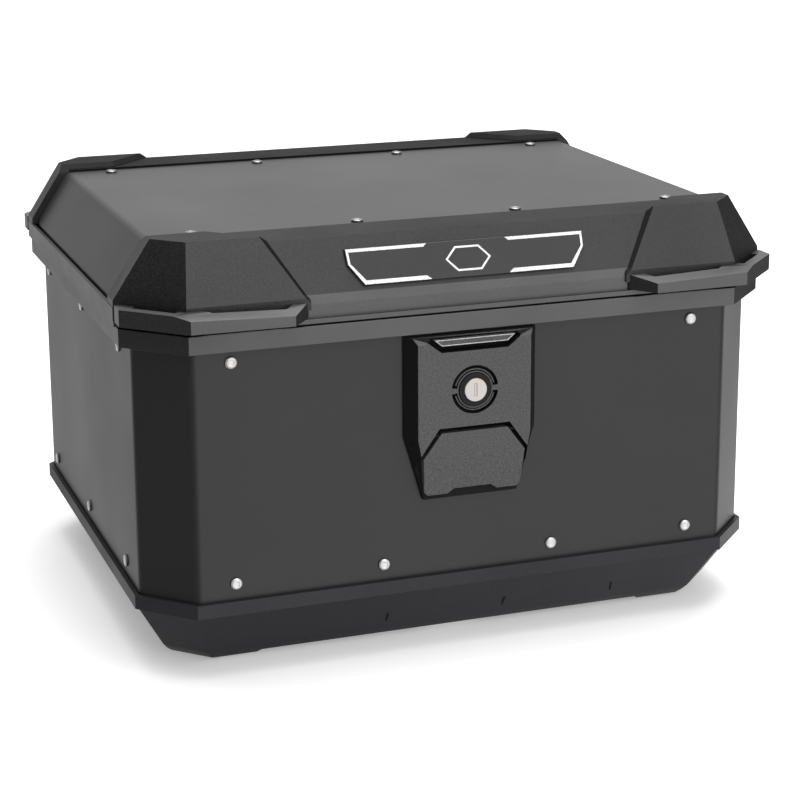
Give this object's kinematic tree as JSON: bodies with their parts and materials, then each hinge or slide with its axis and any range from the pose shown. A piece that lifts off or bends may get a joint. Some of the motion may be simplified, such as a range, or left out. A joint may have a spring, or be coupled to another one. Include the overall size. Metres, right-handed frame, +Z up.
{
  "type": "motorcycle top case",
  "caption": "Hard motorcycle luggage box: folded dark aluminium walls between a moulded base tray and rim, rear-hinged lid with corner caps and tie-down loops, front key lock.",
  "frame": {"origin": "under the centre of the case, at the level of the feet", "axes": "+X to the right seen from the lock side, -Y towards the lock, +Z up"},
  "size_m": [0.493, 0.436, 0.3104],
  "materials": {
    "coated_sheet": "satin black coating on sheet aluminium",
    "lid_sheet": "satin dark grey coating with a faint brushed grain",
    "case_plastic": "fine spark-eroded texture",
    "grained_plastic": "coarse moulded grain",
    "tray_plastic": "smooth matt moulding",
    "badge_gloss": "satin black with pale corner lines",
    "collar_plastic": "satin black",
    "seal_rubber": "matt",
    "key_metal": "fine turned face",
    "rivet_metal": "bare, lightly tumbled",
    "steel": "zinc plated",
    "hinge_steel": "black coated steel"
  },
  "bodies": {
    "case": {"base_tray": "tray_plastic", "wall_shell": "coated_sheet", "seam_strip": "coated_sheet", "body_rim": "case_plastic", "inner_lock_cover": "case_plastic", "lock_housing": "case_plastic", "lock_cylinder": "collar_plastic", "flap_pin": "steel", "hinge_bracket_left": "hinge_steel", "hinge_bracket_right": "hinge_steel", "hinge_pin_left": "hinge_steel", "hinge_pin_right": "hinge_steel", "wall_rivet_1": "rivet_metal", "wall_rivet_2": "rivet_metal", "wall_rivet_3": "rivet_metal", "wall_rivet_4": "rivet_metal", "wall_rivet_5": "rivet_metal", "wall_rivet_6": "rivet_metal", "wall_rivet_7": "rivet_metal", "wall_rivet_8": "rivet_metal", "wall_rivet_9": "rivet_metal", "wall_rivet_10": "rivet_metal", "wall_rivet_11": "rivet_metal", "wall_rivet_12": "rivet_metal", "wall_rivet_13": "rivet_metal", "wall_rivet_14": "rivet_metal", "wall_rivet_15": "rivet_metal", "wall_rivet_16": "rivet_metal", "wall_rivet_17": "rivet_metal", "wall_rivet_18": "rivet_metal"},
    "lid": {"lid_frame": "case_plastic", "lid_panel": "lid_sheet", "lid_seal": "seal_rubber", "lid_striker": "steel", "badge_plate": "badge_gloss", "corner_cap_front_right": "grained_plastic", "corner_cap_front_left": "grained_plastic", "corner_cap_rear_right": "grained_plastic", "corner_cap_rear_left": "grained_plastic", "hinge_leaf_left": "hinge_steel", "hinge_leaf_right": "hinge_steel", "lid_rivet_1": "rivet_metal", "lid_rivet_2": "rivet_metal", "lid_rivet_3": "rivet_metal", "lid_rivet_4": "rivet_metal", "lid_rivet_5": "rivet_metal", "lid_rivet_6": "rivet_metal", "lid_rivet_7": "rivet_metal", "lid_rivet_8": "rivet_metal"},
    "barrel": {"lock_barrel": "key_metal", "lock_cam": "steel"},
    "flap": {"latch_flap": "case_plastic"},
    "hook": {"latch_hook": "steel"},
    "button": {"release_button": "case_plastic"},
    "rod": {"release_rod": "steel"},
    "catch": {"rack_catch": "steel"}
  },
  "joints": [
    {"name": "lid_hinge", "type": "hinge", "parent": "case", "child": "lid", "pos_m": [0, 0.2075, 0.251], "axis": [-1, 0, 0], "range_deg": [0, 95]},
    {"name": "key_turn", "type": "hinge", "parent": "case", "child": "barrel", "pos_m": [0, -0.19, 0.1945], "axis": [0, -1, 0], "range_deg": [0, 90]},
    {"name": "hook_slide", "type": "slide", "parent": "case", "child": "hook", "axis": [0, -1, 0], "range_m": [0, 0.003]},
    {"name": "flap_pull", "type": "hinge", "parent": "case", "child": "flap", "pos_m": [0, -0.2028, 0.1624], "axis": [-1, 0, 0], "range_deg": [0, 50], "stiffness_Nm_per_rad": 0.05, "springref_deg": -11.46},
    {"name": "button_push", "type": "slide", "parent": "case", "child": "button", "axis": [0, 1, 0], "range_m": [0, 0.004], "stiffness_N_per_m": 500, "springref_m": -0.004},
    {"name": "rod_drop", "type": "slide", "parent": "case", "child": "rod", "axis": [0, 0, -1], "range_m": [0, 0.004]},
    {"name": "catch_slide", "type": "slide", "parent": "case", "child": "catch", "axis": [0, -1, 0], "range_m": [0, 0.004]}
  ],
  "couplings": [
    {"joint": "key_turn", "follows": "hook_slide", "rad_per_m": 523.5},
    {"joint": "rod_drop", "follows": "button_push", "ratio": 1},
    {"joint": "catch_slide", "follows": "button_push", "ratio": 1}
  ]
}
